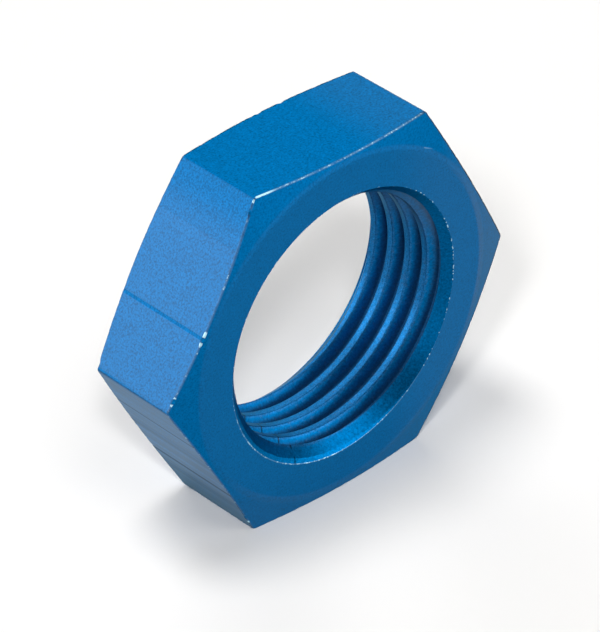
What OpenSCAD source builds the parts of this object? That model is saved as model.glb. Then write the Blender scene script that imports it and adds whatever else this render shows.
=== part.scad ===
// Bulkhead nut: a thin hexagonal nut with a fine inch thread, chamfered on both faces.
// It stands on one hexagon flat. The thread axis lies along Y and the front face looks towards -Y.
// The solid is drawn upright about the thread axis, front face up, and turned to stand at the end.

/* [Hexagon] */
// Width across the flats
across_flats = 25.4; // [22:0.1:36]
// Thickness between the two faces
thickness = 7.7; // [5:0.1:12]
// Radius of the six long edges
long_edge_r = 0.4; // [0.1:0.05:1]

/* [Corner chamfers] */
// How far the flat ring on each face ends inside the hexagon flats
chamfer_inset = 0.53; // [0:0.01:1.5]
// Slope of the chamfer against the face, in degrees
chamfer_slope = 13.3; // [5:0.1:30]

/* [Thread] */
// Major diameter, across the thread roots
thread_d = 19.05; // [16:0.05:20]
// Distance from one crest to the next, along the axis
pitch = 1.5875; // [1:0.0125:2]
// Direction in which the groove crosses the middle of the nut, in degrees from +X
thread_start = 63; // [0:1:359]

/* [Countersinks] */
// How far each rim stands outside the thread roots
rim_margin = 0.16; // [0.05:0.01:0.8]
// Included angle of both countersinks
countersink_angle = 90; // [60:1:120]

/* [Hidden] */

$fn = 96;
anodised_blue = [0.04, 0.37, 0.70];

// Hexagon, whose corners are arcs of long_edge_r
corners = 6;
corner_step = 360 / corners;
corner_centre_r = (across_flats / 2 - long_edge_r) / cos(corner_step / 2);
corner_reach = corner_centre_r + long_edge_r;
corner_facets = 8;

// Chamfers, turned on a disc that is a little wider than the corners
flat_ring_r = across_flats / 2 - chamfer_inset;
disc_r = corner_reach + 1;
chamfer_drop = (disc_r - flat_ring_r) * tan(chamfer_slope);

// Thread form: 60 degree flanks, crests 5/16 and roots 1/8 of the pitch wide
flank_angle = 30;
sharp_height = pitch / 2 / tan(flank_angle);
thread_depth = sharp_height * 9 / 16;
crest_r = thread_d / 2 - thread_depth;
root_w = pitch / 8;

// The groove cutter reaches overcut inside the crests and run_out past each face
overcut = 0.2;
run_out = pitch;
steps_per_turn = 48;
last_step = ceil((thickness / 2 + run_out) / pitch * steps_per_turn);
mouth_w = root_w + 2 * (thread_depth + overcut) * tan(flank_angle);

// Countersinks
rim_r = thread_d / 2 + rim_margin;
countersink_apex = rim_r / tan(countersink_angle / 2);

// The bore and countersinks are cut this far past the faces
past_face = 1;

// Point of the groove section, as [radius, height], carried along the right-hand helix
function on_helix(point, step) =
    let (turn = thread_start + step * 360 / steps_per_turn)
    [point[0] * cos(turn), point[0] * sin(turn), point[1] + step * pitch / steps_per_turn];

// Outline of the hexagon, corners on the X axis, with an arc in place of each sharp corner
module hexagon() {
    polygon([
        for (i = [0:corners - 1], facet = [0:corner_facets])
            let (corner = i * corner_step, normal = corner + (facet / corner_facets - 1 / 2) * corner_step)
            corner_centre_r * [cos(corner), sin(corner)] + long_edge_r * [cos(normal), sin(normal)]
    ]);
}

// Disc with a shallow cone on both sides, which cuts the chamfers on the hexagon's corners
module chamfered_disc() {
    half = thickness / 2;
    rotate_extrude() polygon([
        [0, -half],
        [flat_ring_r, -half],
        [disc_r, chamfer_drop - half],
        [disc_r, half - chamfer_drop],
        [flat_ring_r, half],
        [0, half]
    ]);
}

// Bore at the thread crests, with a countersink at each face
module countersunk_bore() {
    cylinder(r = crest_r, h = thickness + 2 * past_face, center = true);
    for (face = [0, 1]) mirror([0, 0, face])
        translate([0, 0, thickness / 2 - countersink_apex])
            cylinder(
                r1 = 0,
                r2 = rim_r * (1 + past_face / countersink_apex),
                h = countersink_apex + past_face
            );
}

// Helical groove, right-handed, swept a section at a time from below the nut to above it
module thread_groove() {
    section = [
        [crest_r - overcut, -mouth_w / 2],
        [thread_d / 2, -root_w / 2],
        [thread_d / 2, root_w / 2],
        [crest_r - overcut, mouth_w / 2]
    ];
    sides = len(section);
    rings = 2 * last_step + 1;
    points = [for (step = [-last_step:last_step], point = section) on_helix(point, step)];
    walls = [
        for (ring = [0:rings - 2], i = [0:sides - 1])
            let (a = ring * sides + i, b = ring * sides + (i + 1) % sides)
            each [[a, b, b + sides], [a, b + sides, a + sides]]
    ];
    first_end = [for (i = [sides - 1:-1:0]) i];
    last_end = [for (i = [0:sides - 1]) (rings - 1) * sides + i];
    polyhedron(points, concat(walls, [first_end, last_end]), convexity = 10);
}

module nut() {
    color(anodised_blue)
        translate([0, 0, across_flats / 2]) rotate([90, 0, 0])
            difference() {
                intersection() {
                    linear_extrude(thickness, center = true) hexagon();
                    chamfered_disc();
                }
                countersunk_bore();
                thread_groove();
            }
}

nut();
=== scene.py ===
"""Bulkhead nut in blue anodised aluminium: its finished shape, its finish and the studio around it."""
import math

import bmesh
import bpy
from mathutils import Matrix, Vector, noise


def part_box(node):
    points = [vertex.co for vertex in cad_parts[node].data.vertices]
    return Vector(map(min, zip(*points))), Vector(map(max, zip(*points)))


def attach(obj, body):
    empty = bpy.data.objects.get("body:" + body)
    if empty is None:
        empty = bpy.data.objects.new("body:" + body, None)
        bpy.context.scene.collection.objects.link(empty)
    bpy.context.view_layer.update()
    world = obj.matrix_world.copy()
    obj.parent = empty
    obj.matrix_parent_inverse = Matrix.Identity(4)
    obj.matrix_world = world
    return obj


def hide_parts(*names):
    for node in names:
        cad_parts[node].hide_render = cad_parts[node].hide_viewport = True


bl_info = {
    "name": "Bulkhead Nut",
    "version": (1, 0, 0),
    "blender": (4, 5, 0),
    "location": "3D View > Sidebar > Nut",
    "description": "Makes a blue anodised bulkhead nut around its packed model, and a studio for it",
    "category": "Add Mesh",
}

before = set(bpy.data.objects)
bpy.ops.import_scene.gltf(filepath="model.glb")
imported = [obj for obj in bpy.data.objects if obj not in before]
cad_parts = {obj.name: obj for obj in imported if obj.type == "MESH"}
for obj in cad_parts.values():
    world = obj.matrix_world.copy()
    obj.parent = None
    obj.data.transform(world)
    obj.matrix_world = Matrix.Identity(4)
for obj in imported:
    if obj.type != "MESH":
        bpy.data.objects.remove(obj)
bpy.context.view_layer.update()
node_low, node_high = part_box("nut")

MM = 0.001
BODY = "root"
NODE = "nut"
PIECE = "nut_body"

HEX_SIDES = 6
FLAT_STEP = math.radians(360 / HEX_SIDES)
FLANK_ANGLE = math.radians(30)
DEBURR_SLOPE = math.radians(30)

# Steps of a full turn, for the blank and for the thread, so that their edges meet
TURN_STEPS = 240

# How far the blank reaches past the hexagon's corners, and half the soft edge of each face, in millimetres
BLANK_MARGIN = 0.5
CHAMFER_BLEND = 0.1

# Facets in each rounded long edge
EDGE_FACETS = 8

# Where round the rims the deburred strip is widest, and how its width falls off from there
DEBURR_WIDEST = math.radians(-120)
DEBURR_LEAST = 0.05
DEBURR_POWER = 1.5

# Nicks: the flat's direction in degrees, place along it, 1 for front or -1 for back, depth, in millimetres
NICKS = (
    (90, -1.36, -1, 0.12),
    (90, 0.56, -1, 0.1),
    (150, 6.97, -1, 0.12),
    (150, -6.42, 1, 0.1),
    (150, 2.1, 1, 0.1),
    (150, 6.44, 1, 0.12),
    (210, 5.6, 1, 0.1),
)
NICK_WIDTH = 0.3

# Nicking noise: features to the millimetre, the fine noise's share, and the top front edge's share
NICKING_COARSE = 1.7
NICKING_FINE = 4.5
NICKING_FINE_SHARE = 0.7
NICKING_TOP_SHARE = 0.3

# Draw lines: how far down the flat from its middle, half width and soft border, in millimetres, and strength
LEFT_LINE = (2.03, 0.09, 0.05)
LEFT_FAINT_LINE = (-3.8, 0.05, 0.2)
LOWER_LEFT_LINES = (
    ((-3.53, 0.04, 0.14), 0.8),
    ((-1.1, 0.3, 0.5), 0.25),
    ((2.5, 0.1, 0.2), 1.0),
    ((4.2, 0.1, 0.5), 0.3),
)

# The tap's stop mark: direction round the axis, half the width and the soft border, in radians
STOP_MARK = (-2.025, 0.005, 0.004)

# Painted shade at the thread roots, a darker and redder colour; the pale colour that the film is mixed with,
# partly painted sheen; and the metal's tint at a grazing angle
ROOT_SHADE = (0.015, 0.05, 0.13)
PALE_AND_SHEEN = (0.42, 0.3, 0.1)
GRAZING_TINT = (0.5, 0.7, 0.75)

# Distant lights over the floor: name, direction, spread in degrees, and brightness
FLOOR_LIGHTS = (
    ("floor_left", (-0.988, -0.666, 1), 7, 0.215),
    ("floor_front", (-0.666, -0.793, 1), 7, 0.225),
    ("floor_high", (-0.197, -0.543, 1), 20, 0.13),
    ("floor_overhead", (-0.137, 0.163, 1), 20, 0.425),
    ("floor_back", (0.733, 2.015, 1), 40, 0.135),
)

# White panels that the metal mirrors: name, direction from the nut, size in metres, and brightness
PANELS = (
    ("panel_back", (0.567, 0.594, 0.65), (0.6, 0.6), 1.28),
    ("panel_top", (-0.4, 0.6, 0.68), (0.5, 0.4), 1.5),
    ("panel_left", (-0.75, 0.6, 0.27), (0.4, 0.3), 2.3),
    ("panel_right", (0.58, -0.72, 0.36), (0.4, 0.6), 2.0),
    ("panel_overhead", (0.13, -0.3, 0.94), (0.3, 0.3), 1.2),
    ("panel_low", (0.4, -0.9, 0.03), (0.3, 0.12), 3.0),
    ("panel_front", (-0.76, -0.62, 0.18), (0.35, 0.3), 1.6),
)
PANEL_DISTANCE = 0.5

# Brightness of the world: what it gives the floor, and what the metal mirrors of it
AMBIENT = 0.03
MIRRORED = 0.36

# The floor as the metal mirrors it: its brightness, and how much of that replaces its own shading
MIRRORED_FLOOR = 1.15
MIRRORED_FLOOR_SHARE = 0.5

# Half the floor's width, in metres
FLOOR_HALF_SIZE = 2.0

# Places of a Mix node's sockets when it mixes colours
MIX_FACTOR = 0
MIX_COLOR_A = 6
MIX_COLOR_B = 7
MIX_COLOR_OUT = 2


class NutSizes(bpy.types.PropertyGroup):
    """Sizes of the nut, as its solid has them."""

    across_flats: bpy.props.FloatProperty(
        name="Across Flats",
        description="Width across two opposite hexagon flats",
        default=node_high.z - node_low.z,
        unit="LENGTH",
        precision=5,
    )
    thickness: bpy.props.FloatProperty(
        name="Thickness",
        description="Distance between the two faces",
        default=node_high.y - node_low.y,
        unit="LENGTH",
        precision=5,
    )
    long_edge_radius: bpy.props.FloatProperty(
        name="Long Edge Radius",
        description="Radius of the six edges that run along the axis",
        default=0.4 * MM,
        unit="LENGTH",
        precision=5,
    )
    short_edge_break: bpy.props.FloatProperty(
        name="Short Edge Break",
        description="How far the edges between the flats and the chamfers are rubbed down",
        default=0.05 * MM,
        unit="LENGTH",
        precision=5,
    )
    nicks: bpy.props.FloatProperty(
        name="Nicks",
        description="How deep the rubbed edges are nicked",
        default=0.06 * MM,
        unit="LENGTH",
        precision=5,
    )
    chamfer_inset: bpy.props.FloatProperty(
        name="Chamfer Inset",
        description="How far the flat ring on each face ends inside the hexagon flats",
        default=0.53 * MM,
        unit="LENGTH",
        precision=5,
    )
    chamfer_slope: bpy.props.FloatProperty(
        name="Chamfer Slope",
        description="Slope of the corner chamfers against the faces",
        default=math.radians(13.3),
        unit="ROTATION",
    )
    major_diameter: bpy.props.FloatProperty(
        name="Thread Diameter",
        description="Major diameter of the thread, across its roots",
        default=19.05 * MM,
        unit="LENGTH",
        precision=5,
    )
    pitch: bpy.props.FloatProperty(
        name="Thread Pitch",
        description="Distance from one thread crest to the next",
        default=1.5875 * MM,
        unit="LENGTH",
        precision=5,
    )
    thread_start: bpy.props.FloatProperty(
        name="Thread Start",
        description="Direction, from +X towards +Z, in which the groove crosses the middle of the nut",
        default=math.radians(63),
        unit="ROTATION",
    )
    crest_break: bpy.props.FloatProperty(
        name="Crest Edge Radius",
        description="Radius of the edges of the thread crests",
        default=0.1 * MM,
        unit="LENGTH",
        precision=5,
    )
    rim_margin: bpy.props.FloatProperty(
        name="Rim Margin",
        description="How far each countersink's rim stands outside the thread roots",
        default=0.16 * MM,
        unit="LENGTH",
        precision=5,
    )
    deburr: bpy.props.FloatProperty(
        name="Deburring",
        description="Greatest width of the shallow cone that deburrs the countersink's rim",
        default=0.31 * MM,
        unit="LENGTH",
        precision=5,
    )


class NutFinish(bpy.types.PropertyGroup):
    """Colours and roughness of the anodised aluminium."""

    anodised: bpy.props.FloatVectorProperty(
        name="Anodised Blue",
        description="Colour of the dyed oxide film over the metal",
        subtype="COLOR",
        size=3,
        min=0.0,
        max=1.0,
        default=(0.0, 0.112, 0.31),
    )
    bare_metal: bpy.props.FloatVectorProperty(
        name="Bare Metal",
        description="Colour of the aluminium where the film is rubbed off",
        subtype="COLOR",
        size=3,
        min=0.0,
        max=1.0,
        default=(0.52, 0.8, 0.9),
    )
    roughness: bpy.props.FloatProperty(
        name="Roughness",
        description="Roughness of the etched and anodised surface",
        subtype="FACTOR",
        default=0.42,
        min=0.0,
        max=1.0,
    )
    grain: bpy.props.FloatProperty(
        name="Grain",
        description="Strength of the fine etched grain in the colour",
        subtype="FACTOR",
        default=0.95,
        min=0.0,
        max=1.0,
    )
    wear: bpy.props.FloatProperty(
        name="Edge Wear",
        description="Greatest width of the bare line along the short edges",
        default=0.05 * MM,
        unit="LENGTH",
        precision=5,
    )


class NutStudio(bpy.types.PropertyGroup):
    """Camera, floor and lights."""

    azimuth: bpy.props.FloatProperty(
        name="Azimuth",
        description="Direction of the camera round the nut, 0 in front of its front face",
        default=math.radians(-43.7093),
        unit="ROTATION",
    )
    elevation: bpy.props.FloatProperty(
        name="Elevation",
        description="Height of the camera above the horizon, seen from the nut's middle",
        default=math.radians(34.7829),
        unit="ROTATION",
    )
    roll: bpy.props.FloatProperty(
        name="Roll",
        description="Turn of the camera about its own axis",
        default=math.radians(0.5835),
        unit="ROTATION",
    )
    distance: bpy.props.FloatProperty(
        name="Distance",
        description="Distance from the camera to the nut's middle",
        default=0.29891,
        unit="LENGTH",
        precision=4,
    )
    lens: bpy.props.FloatProperty(
        name="Focal Length",
        description="Focal length of the camera on a 36 mm sensor, in millimetres",
        default=267.14,
    )
    aim: bpy.props.FloatVectorProperty(
        name="Aim",
        description="Shift of the point the camera looks at, to the camera's right and up",
        subtype="TRANSLATION",
        size=2,
        default=(-0.00021, -0.00096),
        precision=5,
    )
    floor: bpy.props.FloatVectorProperty(
        name="Floor",
        description="Colour of the floor",
        subtype="COLOR",
        size=3,
        min=0.0,
        max=1.0,
        default=(0.885, 0.875, 0.86),
    )


class Socket:
    """A shader socket that Python's operators can work on, which adds Math nodes to its tree."""

    def __init__(self, tree, socket):
        self.tree = tree
        self.socket = socket

    def node(self, kind, settings=None, sockets=None, output=0):
        """Adds a node: settings first, then the values or links of its sockets. Returns one output."""
        node = self.tree.nodes.new(kind)
        for name, value in (settings or {}).items():
            setattr(node, name, value)
        for key, value in (sockets or {}).items():
            if isinstance(value, Socket):
                self.tree.links.new(value.socket, node.inputs[key])
            else:
                node.inputs[key].default_value = value
        return Socket(self.tree, node.outputs[output]) if node.outputs else None

    def math(self, operation, *values, clamp=False):
        """Adds one Math node that works on the given values in order."""
        settings = {"operation": operation, "use_clamp": clamp}
        return self.node("ShaderNodeMath", settings, dict(enumerate(values)))

    def __add__(self, other):
        return self.math("ADD", self, other)

    __radd__ = __add__

    def __sub__(self, other):
        return self.math("SUBTRACT", self, other)

    def __rsub__(self, other):
        return self.math("SUBTRACT", other, self)

    def __mul__(self, other):
        return self.math("MULTIPLY", self, other)

    __rmul__ = __mul__

    def __abs__(self):
        return self.math("ABSOLUTE", self)

    def root(self):
        """Square root."""
        return self.math("SQRT", self)

    def at_least(self, other):
        """The larger of the two."""
        return self.math("MAXIMUM", self, other)

    def clamped(self):
        """Kept between 0 and 1."""
        return self.math("ADD", self, 0.0, clamp=True)

    def rise(self, low, high):
        """0 below low, 1 above high, and smooth between."""
        sockets = {"Value": self, "From Min": low, "From Max": high}
        return self.node("ShaderNodeMapRange", {"interpolation_type": "SMOOTHSTEP"}, sockets)

    def fall(self, low, high):
        """1 below low, 0 above high, and smooth between."""
        return 1 - self.rise(low, high)

    def band(self, centre, half_width, soft):
        """1 within half_width of centre, fading to 0 over soft on both sides."""
        return abs(self - centre).fall(half_width, half_width + soft)


def colour_mix(factor, first, second):
    """Mixes two colours, of which either may be plain numbers."""
    sockets = {MIX_FACTOR: factor, MIX_COLOR_A: opaque(first), MIX_COLOR_B: opaque(second)}
    return factor.node("ShaderNodeMix", {"data_type": "RGBA"}, sockets, MIX_COLOR_OUT)


def opaque(colour):
    """A colour of three numbers with full alpha, or the socket as it is."""
    return colour if isinstance(colour, Socket) else (*colour, 1.0)


def grain_noise(place, scale, detail=2.0, roughness=0.5):
    """Noise from 0 to 1 on a place in millimetres, with scale features to the millimetre."""
    sockets = {"Vector": place, "Scale": scale, "Detail": detail, "Roughness": roughness}
    return place.node("ShaderNodeTexNoise", None, sockets)


class NutMap:
    """Sockets that say where each point lies on the nut, in millimetres, and what marks it has there."""

    def __init__(self, tree, sizes):
        start = Socket(tree, None)
        half_width = sizes.across_flats / 2 / MM

        # Place from the middle of the axis
        place = start.node("ShaderNodeTexCoord", None, None, "Object")
        mapping = {"Vector": place, "Location": (0, 0, -half_width), "Scale": (1 / MM, 1 / MM, 1 / MM)}
        place = start.node("ShaderNodeMapping", {"vector_type": "POINT"}, mapping)
        x = place.node("ShaderNodeSeparateXYZ", None, {0: place}, "X")
        y = place.node("ShaderNodeSeparateXYZ", None, {0: place}, "Y")
        z = place.node("ShaderNodeSeparateXYZ", None, {0: place}, "Z")
        from_axis = (x * x + z * z).root()
        self.place = place
        self.x = x
        self.z = z

        # Distances out to the two flats on the left, and down along them from their middles
        across = math.cos(FLAT_STEP / 2)
        up = math.sin(FLAT_STEP / 2)
        out_left = z * up - x * across
        out_lower_left = x * -across - z * up
        self.down_left = x * -up - z * across
        self.down_lower_left = x * up - z * across

        # Depth under the nearest flat, the nearest face and the nearest chamfer
        slope = sizes.chamfer_slope
        ring_radius = half_width - sizes.chamfer_inset / MM
        under_flat = half_width - abs(z).at_least(abs(out_lower_left)).at_least(abs(out_left))
        under_face = sizes.thickness / 2 / MM - abs(y)
        under_chamfer = under_face * math.cos(slope) - (from_axis - ring_radius) * math.sin(slope)

        # 1 within the countersinks' rims, on the faces, on the chamfers, on the flats, and in the front half
        rim_radius = (sizes.major_diameter / 2 + sizes.rim_margin) / MM
        self.inside = from_axis.fall(rim_radius - 0.02, rim_radius + 0.02)
        self.on_face = under_face.fall(0.05, 0.1) * (1 - self.inside)
        self.on_chamfer = under_chamfer.fall(0.02, 0.06) * (1 - self.inside)
        self.outside = under_flat.fall(0.02, 0.06) * (1 - self.on_chamfer)
        self.front = (-1 * y).rise(0, 1)

        # 1 near the flats that the camera sees, their edges included, and 1 on the two on the left alone
        near = (half_width - 0.4, half_width - 0.2)
        flush = (half_width - 0.06, half_width - 0.02)
        self.near_top = z.rise(*near)
        self.near_left = out_left.rise(*near)
        self.near_lower_left = out_lower_left.rise(*near)
        self.on_left = out_left.rise(*flush)
        self.on_lower_left = out_lower_left.rise(*flush)

        # Distance from the edges between flats and chamfers, and from the rims of the countersinks
        self.from_edge = under_flat.at_least(0) + under_chamfer.at_least(0)
        self.from_rim = abs(from_axis - rim_radius) + under_face.at_least(0)
        self.rounded = self.from_edge.fall(0.08, 0.14)

        # The thread, its crests, and how far down from a crest to a root
        crest = crest_radius(sizes)
        self.in_thread = self.inside * under_face.rise(0.5, 0.9)
        self.on_crest = self.inside * from_axis.fall(crest + 0.05, crest + 0.2)
        self.depth = self.in_thread * from_axis.rise(crest + 0.15, crest + 0.65)

        # Fine grain, finer etching, dots, streaks along the axis, and chatter across the thread
        self.grain = grain_noise(place, 7.5, 3.0, 0.6)
        self.etching = grain_noise(place, 14.0, 2.0)
        self.dots = grain_noise(place, 4.5, 2.0, 0.6)
        along = place.node("ShaderNodeVectorMath", {"operation": "MULTIPLY"}, {0: place, 1: (1, 0.03, 1)})
        self.streaks = grain_noise(along, 2.2, 3.0, 0.7)
        around = z.math("ARCTAN2", z, x)
        turned = place.node("ShaderNodeCombineXYZ", None, {0: around * 9, 1: y * 0.8, 2: from_axis * 0.8})
        self.chatter = grain_noise(turned, 6.0, 2.0, 0.6)

        # A fine mark where the tap stopped, across the thread and the deburred strip of the countersink
        deburred = self.inside * from_axis.rise(rim_radius - 0.42, rim_radius - 0.36)
        self.stop_mark = around.band(*STOP_MARK) * self.in_thread.at_least(deburred)

        # Draw lines on the two flats on the left, and the ends of these flats: the upper end of the left
        # flat is darker and less pale, and painted shade darkens the lower end of the lower left flat
        self.left_line = self.down_left.band(*LEFT_LINE) * self.on_left
        faint_line = self.down_left.band(*LEFT_FAINT_LINE) * self.on_left * 0.4
        lower_lines = sum(self.down_lower_left.band(*line) * strength for line, strength in LOWER_LEFT_LINES)
        self.lines = self.left_line + faint_line + lower_lines * self.on_lower_left
        below_end = self.down_left.rise(-6.5, -3.9) * 0.7 + self.down_left.rise(-3.9, -3.75) * 0.3
        self.upper_end = self.on_left * (1 - below_end)
        self.shaded_lower_end = self.down_lower_left.rise(1, 6.5)


def bare_metal(nut, sizes, finish):
    """How far the film is rubbed off, from 0 to 1: on the short edges, on the rims and in a scratch."""
    patches = grain_noise(nut.place, 2.6, 3.0, 0.65)

    # The front edge of the top flat is rubbed nearly all along, most of all at its left corner
    corner = nut.front * nut.near_top * (-1 * nut.x).rise(5.4, 6.4)
    spots = nut.near_left * (nut.down_left.band(2.0, 0.35, 0.3) + nut.down_left.band(6.44, 0.2, 0.2))
    spots = nut.front * (spots + nut.near_lower_left * nut.down_lower_left.band(6.2, 0.05, 0.15) * 0.7)
    often = nut.front * (nut.near_top * 0.234 + nut.near_lower_left * 0.066 + 0.03)
    rubbed = (patches + often + (corner + spots) * 0.3).rise(0.604, 0.694)
    spread = ((patches - 0.6) * 4).clamped() * 0.7 + corner * 0.5 + spots * 1.1
    reach = spread * (finish.wear / MM) + (sizes.short_edge_break / MM + 0.012)
    broken = (0.25 + nut.dots.rise(0.5, 0.62) * 0.75).at_least(corner).at_least(spots)
    edges = rubbed * (reach - nut.from_edge).rise(0, 0.02) * broken

    # The rims have bare dots, more of them at the lower left and the right, and a faint line below
    often = (nut.x * -0.57 - nut.z * 0.82).rise(4, 9) * 0.07 + nut.x.rise(8, 9.4) * 0.05
    rim_dots = (nut.dots + often).rise(0.61, 0.64) * nut.from_rim.fall(0.03, 0.06)
    rim_line = (nut.x * -0.3 - nut.z * 0.95).rise(2, 7) * nut.from_rim.fall(0.02, 0.05)

    # A light scratch on the front face, at its upper right
    scratch = (nut.x * 0.47 + nut.z * 0.883).band(12.41, 0.02, 0.03) * nut.x.band(7.15, 0.35, 0.1)
    scratch = scratch * nut.on_face * nut.front
    bare = (edges * 0.85).at_least(rim_dots * 0.6).at_least(rim_line * 0.14).at_least(scratch * 0.3)
    return bare.clamped()


def film_and_painted_light(nut, finish):
    """Colour of the film, paler in some places and darker in others, with painted shade and painted sheen in
    some of them.
    """
    mottle = grain_noise(nut.place, 1.1, 2.0, 0.5)
    # Painted shade and painted sheen: the upper right of the thread is darker and paler
    painted_upper_right = nut.in_thread * nut.x.rise(2, 6) * nut.z.rise(1, 5)
    # Painted shade: the countersink on the right is darker
    shaded_right_cone = (nut.inside - nut.in_thread) * nut.front * nut.x.rise(3, 7)
    # Painted shade: the rounded edges at the back of the top flat and on the right are darker
    shaded_far_edges = nut.rounded * (nut.near_top * (1 - nut.front)).at_least(nut.x.rise(5, 9))

    # How pale it is, on the outside first and then in the thread; on the two flats on the left, on the right
    # of the chamfers and in the upper right of the thread this paleness is painted sheen
    pale = (nut.on_left * 0.065 - nut.upper_end * 0.042) * (1 - nut.left_line * 0.8)
    pale += nut.on_lower_left * (0.12 - nut.shaded_lower_end * 0.07)
    pale += nut.near_top * nut.outside * nut.x.rise(1, 6) * 0.02
    pale += nut.rounded * nut.front * 0.05
    pale += nut.on_face * (0.012 + 0.018 * nut.x.rise(3, 9))
    pale += nut.on_chamfer * (nut.x.rise(8, 13.5) * 0.1 + (-1 * nut.z).rise(6, 11) * 0.03)
    pale += nut.on_crest * (0.01 + 0.032 * nut.etching.rise(0.42, 0.6))
    pale += nut.dots.rise(0.55, 0.7) * nut.in_thread * 0.03
    pale += painted_upper_right * 0.06

    # How bright it is: grain and mottling everywhere, and then what streaks or darkens each place; the
    # darkening deep in the thread, in its upper right, on the countersink at the right, on the far rounded
    # edges and at the lower end of the lower left flat is painted shade
    even = nut.on_chamfer.at_least(nut.on_face) * 0.35 + nut.inside * 0.3
    tone = 1 + (nut.grain - 0.5) * (2 * finish.grain) * (1 - even) + (mottle - 0.5) * 0.12
    tone -= nut.upper_end * 0.08
    tone *= 1 + (nut.streaks - 0.5) * nut.outside * (0.25 + nut.on_lower_left * 1.1)
    tone *= 1 - nut.lines * (0.1 + nut.on_lower_left * 0.4)
    tone *= 1 - nut.on_lower_left * nut.shaded_lower_end * 0.45
    tone *= 1 + (nut.etching - 0.5) * nut.on_crest * 1.4
    tone *= 1 + (nut.chatter - 0.5) * nut.inside
    tone *= (1 - nut.depth * 0.35) * (1 - nut.stop_mark * 0.7)
    tone *= (1 - painted_upper_right * 0.15) * (1 - shaded_right_cone * 0.3) * (1 - shaded_far_edges * 0.7)

    scaled = {0: tuple(finish.anodised), "Scale": tone}
    film = nut.place.node("ShaderNodeVectorMath", {"operation": "SCALE"}, scaled)
    # Painted shade: a darker, redder colour towards the thread roots
    film = colour_mix(nut.depth * nut.depth * 0.4, film, ROOT_SHADE)
    # Paleness, partly painted sheen
    return colour_mix(pale, film, PALE_AND_SHEEN)


def anodised_aluminium(sizes, finish):
    """Blue anodised aluminium: fine grain, draw lines along the flats, bare metal along worn edges, and
    painted shade and painted sheen in some places.
    """
    material = bpy.data.materials.new("anodised_aluminium_blue")
    material.use_nodes = True
    tree = material.node_tree
    tree.nodes.clear()
    nut = NutMap(tree, sizes)
    colour = colour_mix(bare_metal(nut, sizes, finish), film_and_painted_light(nut, finish), finish.bare_metal)
    metallic = (1 - nut.depth * 0.25) * (1 - nut.on_lower_left * (0.45 - nut.shaded_lower_end * 0.27))
    roughness = finish.roughness + (nut.grain - 0.5) * 0.16 - nut.inside * 0.06
    roughness += nut.rounded * nut.x.rise(5, 9) * 0.2 + nut.lines * nut.on_lower_left * 0.15
    height = nut.etching - nut.lines * 6
    height += (nut.streaks - 0.5) * nut.outside * (2 + nut.on_lower_left * 12)
    bump = {"Strength": 0.25, "Distance": 0.004 * MM, "Height": height}
    sockets = {
        "Base Color": colour,
        "Metallic": metallic,
        "Specular Tint": (*GRAZING_TINT, 1.0),
        "Roughness": roughness,
        "Normal": nut.place.node("ShaderNodeBump", None, bump),
    }
    shader = nut.place.node("ShaderNodeBsdfPrincipled", None, sockets)
    shader.node("ShaderNodeOutputMaterial", None, {"Surface": shader})
    return material


def section_loop(bm, points):
    """A closed loop of edges through points of [radius, height], in the plane through the axis."""
    verts = [bm.verts.new((radius, 0, height)) for radius, height in points]
    return verts + [bm.edges.new((a, b)) for a, b in zip(verts, verts[1:] + verts[:1])]


def turned_blank(sizes):
    """The nut as turned, with bore, countersinks and chamfers, but round. Axis up, in millimetres."""
    half = sizes.thickness / 2 / MM
    crest = crest_radius(sizes)
    rim = (sizes.major_diameter / 2 + sizes.rim_margin) / MM
    deburr = sizes.deburr / MM
    deburr_drop = deburr * math.tan(DEBURR_SLOPE)
    ring = (sizes.across_flats / 2 - sizes.chamfer_inset) / MM
    slope = math.tan(sizes.chamfer_slope)
    outside = sizes.across_flats / 2 / MM / math.cos(FLAT_STEP / 2) + BLANK_MARGIN
    upper = [
        (crest, half - (rim - crest)),
        (rim - deburr, half - deburr_drop),
        (rim, half),
        (ring - CHAMFER_BLEND, half),
        (ring, half - CHAMFER_BLEND / 4 * slope),
        (ring + CHAMFER_BLEND, half - CHAMFER_BLEND * slope),
        (outside, half - (outside - ring) * slope),
    ]
    section = upper + [(radius, -height) for radius, height in reversed(upper)]
    bm = bmesh.new()
    bmesh.ops.spin(
        bm,
        geom=section_loop(bm, section),
        cent=(0, 0, 0),
        axis=(0, 0, 1),
        dvec=(0, 0, 0),
        angle=math.tau,
        steps=TURN_STEPS,
        use_merge=True,
    )
    bmesh.ops.recalc_face_normals(bm, faces=bm.faces)
    return bm


def crest_radius(sizes):
    """Radius of the bore across the thread crests, in millimetres."""
    sharp_height = sizes.pitch / 2 / math.tan(FLANK_ANGLE)
    return (sizes.major_diameter / 2 - sharp_height * 9 / 16) / MM


def shift_deburring(bm, sizes):
    """Moves the deburred strip off centre: widest towards one side, and next to nothing on the other."""
    on_strip = 1e-4
    deburr = sizes.deburr / MM
    start = (sizes.major_diameter / 2 + sizes.rim_margin) / MM - deburr
    for vert in bm.verts:
        radius = vert.co.xy.length
        if abs(radius - start) > on_strip:
            continue
        turn = math.atan2(vert.co.y, vert.co.x) - DEBURR_WIDEST
        share = max(DEBURR_LEAST, math.cos(turn)) ** DEBURR_POWER
        out = deburr * (1 - share)
        vert.co.xy *= (radius + out) / radius
        vert.co.z += math.copysign(out * math.tan(DEBURR_SLOPE), vert.co.z)


def cut_flat(bm, direction, reach, centre=Vector()):
    """Cuts the blank off at a plane and closes the cut with one face."""
    normal = Vector((math.cos(direction), math.sin(direction), 0))
    everything = bm.verts[:] + bm.edges[:] + bm.faces[:]
    cut = bmesh.ops.bisect_plane(
        bm, geom=everything, dist=1e-6, plane_co=centre + normal * reach, plane_no=normal, clear_outer=True
    )
    edges = [part for part in cut["geom_cut"] if isinstance(part, bmesh.types.BMEdge)]
    bmesh.ops.contextual_create(bm, geom=edges)


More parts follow.
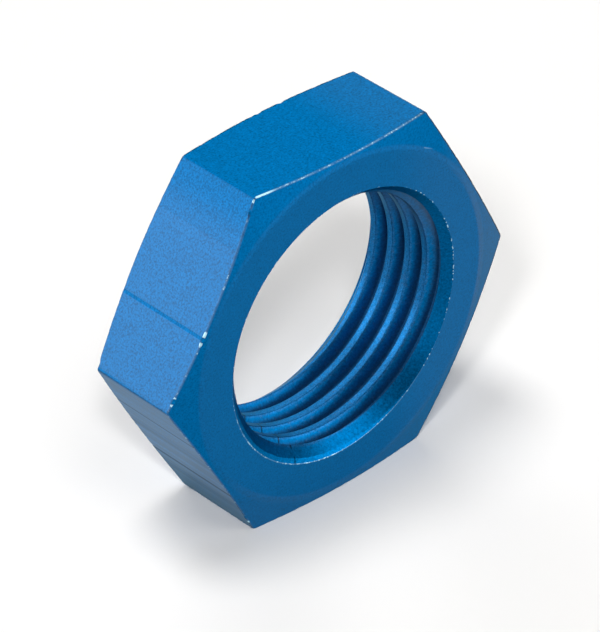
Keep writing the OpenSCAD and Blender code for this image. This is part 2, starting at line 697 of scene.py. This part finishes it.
def cut_hexagon(bm, sizes):
    """Cuts the six flats, and rounds the long edges with narrow facets."""
    apothem = sizes.across_flats / 2 / MM
    radius = sizes.long_edge_radius / MM
    corner_centre = (apothem - radius) / math.cos(FLAT_STEP / 2)
    for side in range(HEX_SIDES):
        cut_flat(bm, FLAT_STEP * (side + 0.5), apothem)
    for side in range(HEX_SIDES):
        corner = FLAT_STEP * side
        centre = corner_centre * Vector((math.cos(corner), math.sin(corner), 0))
        for facet in range(1, EDGE_FACETS):
            cut_flat(bm, corner + (facet / EDGE_FACETS - 0.5) * FLAT_STEP, radius, centre)


def break_short_edges(bm, sizes):
    """Bevels the edges where the flats meet the chamfers."""
    least_angle = math.radians(40)
    inner_reach = sizes.across_flats / 2 / MM - 0.01
    edges = [
        edge
        for edge in bm.edges
        if abs(edge.verts[0].co.z) > sizes.thickness / 4 / MM
        and edge.verts[0].co.xy.length > inner_reach
        and edge.calc_face_angle(0) > least_angle
    ]
    finer = bmesh.ops.subdivide_edges(bm, edges=edges, cuts=2)
    edges = [part for part in finer["geom_split"] if isinstance(part, bmesh.types.BMEdge)]
    bmesh.ops.bevel(
        bm,
        geom=edges,
        offset=sizes.short_edge_break / MM,
        offset_type="OFFSET",
        affect="EDGES",
        segments=1,
        profile=0.5,
        material=-1,
    )


def nick_short_edges(bm, sizes):
    """Pushes the edges between flats and chamfers in here and there, within the surfaces they border."""
    near = 0.12
    on_surface = 0.002
    deepest = sizes.nicks / MM
    half_width = sizes.across_flats / 2 / MM
    half = sizes.thickness / 2 / MM
    ring = half_width - sizes.chamfer_inset / MM
    slope = sizes.chamfer_slope
    for vert in bm.verts:
        flat = half_width - max(
            abs(vert.co.x * math.cos(angle) + vert.co.y * math.sin(angle))
            for angle in (FLAT_STEP * 0.5, FLAT_STEP * 1.5, FLAT_STEP * 2.5)
        )
        radius = vert.co.xy.length
        chamfer = (half - abs(vert.co.z)) * math.cos(slope) - (radius - ring) * math.sin(slope)
        if flat + chamfer > near:
            continue
        side = math.copysign(1, vert.co.z)
        coarse = noise.noise(vert.co * NICKING_COARSE)
        fine = noise.noise(vert.co * NICKING_FINE)
        push = deepest * max(0, coarse + NICKING_FINE_SHARE * fine)
        if side > 0 and vert.co.y > half_width - near:
            push *= NICKING_TOP_SHARE
        for direction, along, face, depth in NICKS:
            normal = math.radians(direction)
            away = vert.co.y * math.cos(normal) - vert.co.x * math.sin(normal) - along
            on_flat = vert.co.x * math.cos(normal) + vert.co.y * math.sin(normal) > half_width - near
            if on_flat and side == face and abs(away) < NICK_WIDTH:
                push = max(push, depth * (1 - (away / NICK_WIDTH) ** 2))
        if chamfer > on_surface:
            vert.co.z -= side * push
        if flat > on_surface:
            vert.co.xy *= 1 - push / radius
            vert.co.z += side * push * math.tan(slope)


def thread_cutter(sizes):
    """The helical groove, right-handed, from below the nut to above it."""
    overcut = 0.25
    pitch = sizes.pitch / MM
    root = sizes.major_diameter / 2 / MM
    crest = crest_radius(sizes)
    soft = sizes.crest_break / MM
    slope = math.tan(FLANK_ANGLE)
    half_root = pitch / 16
    centre = half_root + (root - crest) * slope + soft * slope
    round_root = half_root / slope
    shoulder = [math.radians(degrees) for degrees in (12, 24, 36, 48, 60)]
    bottom = [math.radians(degrees) for degrees in (60, 54, 42, 30, 18, 6)]

    # How far inside the crests the groove's mouth reaches, and how much it flares there
    mouth = [(overcut, 0.08), (0.01, 0.057)]
    half_section = [(crest - inwards, centre + flare) for inwards, flare in mouth]
    half_section += [
        (crest + soft - soft * math.cos(turn), centre - soft * math.sin(turn))
        for turn in shoulder
    ]
    half_section += [
        (root - round_root * (1 - math.cos(turn)), round_root * math.sin(turn))
        for turn in bottom
    ]
    section = half_section + [(radius, -height) for radius, height in reversed(half_section)]
    turns = math.ceil(sizes.thickness / sizes.pitch + 1)
    bm = bmesh.new()
    loop = section_loop(bm, section)
    face = bm.faces.new(loop[: len(section)])
    bmesh.ops.spin(
        bm,
        geom=loop + [face],
        cent=(0, 0, 0),
        axis=(0, 0, 1),
        dvec=(0, 0, pitch / TURN_STEPS),
        angle=math.tau * turns,
        steps=TURN_STEPS * turns,
        use_merge=False,
    )
    bmesh.ops.translate(bm, verts=bm.verts, vec=(0, 0, -pitch * turns / 2))
    start = Matrix.Rotation(sizes.thread_start - math.tau * turns / 2, 3, "Z")
    bmesh.ops.rotate(bm, verts=bm.verts, cent=(0, 0, 0), matrix=start)
    bmesh.ops.triangulate(bm, faces=bm.faces)
    bmesh.ops.recalc_face_normals(bm, faces=bm.faces)
    return bm


def new_object(name, bm):
    """Puts a bmesh into a new object at the origin."""
    mesh = bpy.data.meshes.new(name)
    bm.to_mesh(mesh)
    bm.free()
    thing = bpy.data.objects.new(name, mesh)
    bpy.context.scene.collection.objects.link(thing)
    return thing


def cut_away(thing, cutter):
    """Subtracts the cutter from the thing for good, removes the cutter, and merges what nearly touches."""
    merged = 0.002
    boolean = thing.modifiers.new("thread", "BOOLEAN")
    boolean.operation = "DIFFERENCE"
    boolean.solver = "EXACT"
    boolean.object = cutter
    shown = thing.evaluated_get(bpy.context.evaluated_depsgraph_get())
    whole = thing.data
    thing.data = bpy.data.meshes.new_from_object(shown)
    thing.data.name = thing.name
    thing.modifiers.clear()
    bpy.data.meshes.remove(whole)
    bpy.data.meshes.remove(cutter.data)
    bm = bmesh.new()
    bm.from_mesh(thing.data)
    bmesh.ops.remove_doubles(bm, verts=bm.verts, dist=merged)
    bmesh.ops.dissolve_degenerate(bm, edges=bm.edges, dist=merged)
    bm.to_mesh(thing.data)
    bm.free()


def stand_on_flat(thing, sizes):
    """Turns the finished mesh from axis up to its place on the floor, in metres."""
    turn = Matrix.Rotation(math.radians(90), 4, "X")
    rise = Matrix.Translation((0, 0, sizes.across_flats / 2))
    thing.data.transform(rise @ turn @ Matrix.Scale(MM, 4))


def shade(thing):
    """Smooth shading that keeps the real edges sharp and the large faces even."""
    thing.data.shade_smooth()
    thing.data.set_sharp_from_angle(angle=math.radians(14.5))
    weighted = thing.modifiers.new("even_faces", "WEIGHTED_NORMAL")
    weighted.keep_sharp = True
    weighted.weight = 90


class NUT_OT_make_nut(bpy.types.Operator):
    """Make the finished nut in place of its plain solid."""

    bl_idname = "nut.make_nut"
    bl_label = "Make Nut"

    def execute(self, context):
        sizes = context.scene.nut_sizes
        blank = turned_blank(sizes)
        shift_deburring(blank, sizes)
        cut_hexagon(blank, sizes)
        break_short_edges(blank, sizes)
        nick_short_edges(blank, sizes)
        nut = new_object(PIECE, blank)
        cut_away(nut, new_object("thread_cutter", thread_cutter(sizes)))
        stand_on_flat(nut, sizes)
        shade(nut)
        nut.data.materials.append(anodised_aluminium(sizes, context.scene.nut_finish))
        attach(nut, BODY)
        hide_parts(NODE)
        return {"FINISHED"}


def hang_light(light, towards, place):
    """Puts a lamp with this light at a place, shining back along a direction, unseen by the camera."""
    lamp = bpy.data.objects.new(light.name, light)
    lamp.location = place
    lamp.rotation_mode = "QUATERNION"
    lamp.rotation_quaternion = (-towards).to_track_quat("-Z", "Y")
    lamp.visible_camera = False
    bpy.context.scene.collection.objects.link(lamp)
    return lamp


def floor_light(name, direction, spread, brightness):
    """A distant soft light that lights the floor and throws the nut's shadow, unseen in the metal."""
    light = bpy.data.lights.new(name, "SUN")
    light.angle = spread
    towards = Vector(direction).normalized()
    light.energy = brightness * math.pi / towards.z
    lamp = hang_light(light, towards, towards)
    lamp.visible_glossy = False


def panel(name, direction, centre, size, brightness):
    """A rectangular white panel that only the metal mirrors."""
    light = bpy.data.lights.new(name, "AREA")
    light.shape = "RECTANGLE"
    light.size, light.size_y = size
    light.energy = brightness * math.pi * size[0] * size[1]
    towards = Vector(direction).normalized()
    lamp = hang_light(light, towards, centre + towards * PANEL_DISTANCE)
    lamp.visible_diffuse = False


def place_camera(studio, centre):
    """A camera that looks at the nut from the photograph's angle and distance."""
    azimuth, elevation, roll = studio.azimuth, studio.elevation, studio.roll
    back = Vector(
        (
            math.sin(azimuth) * math.cos(elevation),
            -math.cos(azimuth) * math.cos(elevation),
            math.sin(elevation),
        )
    )
    level = (-back).cross(Vector((0, 0, 1))).normalized()
    upright = level.cross(-back)
    right = level * math.cos(roll) + upright * math.sin(roll)
    up = upright * math.cos(roll) - level * math.sin(roll)
    data = bpy.data.cameras.new("camera")
    data.sensor_width = 36
    data.lens = studio.lens
    data.clip_start = 0.01
    camera = bpy.data.objects.new("camera", data)
    camera.rotation_mode = "QUATERNION"
    camera.rotation_quaternion = Matrix((right, up, back)).transposed().to_quaternion()
    camera.location = centre + right * studio.aim[0] + up * studio.aim[1] + back * studio.distance
    bpy.context.scene.collection.objects.link(camera)
    bpy.context.scene.camera = camera


def make_floor(studio):
    """A large plain pale floor."""
    bm = bmesh.new()
    bmesh.ops.create_grid(bm, x_segments=1, y_segments=1, size=FLOOR_HALF_SIZE)
    floor = new_object("floor", bm)
    material = bpy.data.materials.new("floor_white")
    material.use_nodes = True
    tree = material.node_tree
    tree.nodes.clear()
    start = Socket(tree, None)
    colour = (*studio.floor, 1.0)
    diffuse = start.node("ShaderNodeBsdfDiffuse", None, {"Color": colour})
    bright = start.node("ShaderNodeEmission", None, {"Color": colour, "Strength": MIRRORED_FLOOR})
    mirrored = start.node("ShaderNodeLightPath", None, None, "Is Glossy Ray") * MIRRORED_FLOOR_SHARE
    shader = start.node("ShaderNodeMixShader", None, {0: mirrored, 1: diffuse, 2: bright})
    start.node("ShaderNodeOutputMaterial", None, {"Surface": shader})
    floor.data.materials.append(material)


def set_world():
    """Even white light from all round, brighter in what the metal mirrors."""
    world = bpy.data.worlds.new("studio")
    world.use_nodes = True
    tree = world.node_tree
    tree.nodes.clear()
    start = Socket(tree, None)
    is_glossy = start.node("ShaderNodeLightPath", None, None, "Is Glossy Ray")
    strength = AMBIENT + (MIRRORED - AMBIENT) * is_glossy
    background = start.node("ShaderNodeBackground", None, {"Color": (1, 1, 1, 1), "Strength": strength})
    start.node("ShaderNodeOutputWorld", None, {"Surface": background})
    bpy.context.scene.world = world


class NUT_OT_make_studio(bpy.types.Operator):
    """Make the camera, the floor and the soft lights."""

    bl_idname = "nut.make_studio"
    bl_label = "Make Studio"

    def execute(self, context):
        studio = context.scene.nut_studio
        centre = Vector((0, 0, context.scene.nut_sizes.across_flats / 2))
        place_camera(studio, centre)
        make_floor(studio)
        set_world()
        for name, direction, spread, brightness in FLOOR_LIGHTS:
            floor_light(name, direction, math.radians(spread), brightness)
        for name, direction, size, brightness in PANELS:
            panel(name, direction, centre, size, brightness)
        context.scene.view_settings.view_transform = "Standard"
        return {"FINISHED"}


class NUT_PT_panel(bpy.types.Panel):
    """Sizes, finish and studio of the nut."""

    bl_label = "Bulkhead Nut"
    bl_idname = "NUT_PT_panel"
    bl_space_type = "VIEW_3D"
    bl_region_type = "UI"
    bl_category = "Nut"

    def draw(self, context):
        for group in (context.scene.nut_sizes, context.scene.nut_finish, context.scene.nut_studio):
            box = self.layout.box()
            for name in group.__annotations__:
                box.prop(group, name)
        self.layout.operator(NUT_OT_make_nut.bl_idname)
        self.layout.operator(NUT_OT_make_studio.bl_idname)


CLASSES = (NutSizes, NutFinish, NutStudio, NUT_OT_make_nut, NUT_OT_make_studio, NUT_PT_panel)


def register():
    """Adds the classes to Blender, and the settings to every scene."""
    for cls in CLASSES:
        bpy.utils.register_class(cls)
    bpy.types.Scene.nut_sizes = bpy.props.PointerProperty(type=NutSizes)
    bpy.types.Scene.nut_finish = bpy.props.PointerProperty(type=NutFinish)
    bpy.types.Scene.nut_studio = bpy.props.PointerProperty(type=NutStudio)


def unregister():
    """Takes the settings and the classes away again."""
    del bpy.types.Scene.nut_studio
    del bpy.types.Scene.nut_finish
    del bpy.types.Scene.nut_sizes
    for cls in reversed(CLASSES):
        bpy.utils.unregister_class(cls)


def main():
    """Makes the nut and its studio."""
    register()
    bpy.ops.nut.make_nut()
    bpy.ops.nut.make_studio()


if __name__ == "__main__":
    main()
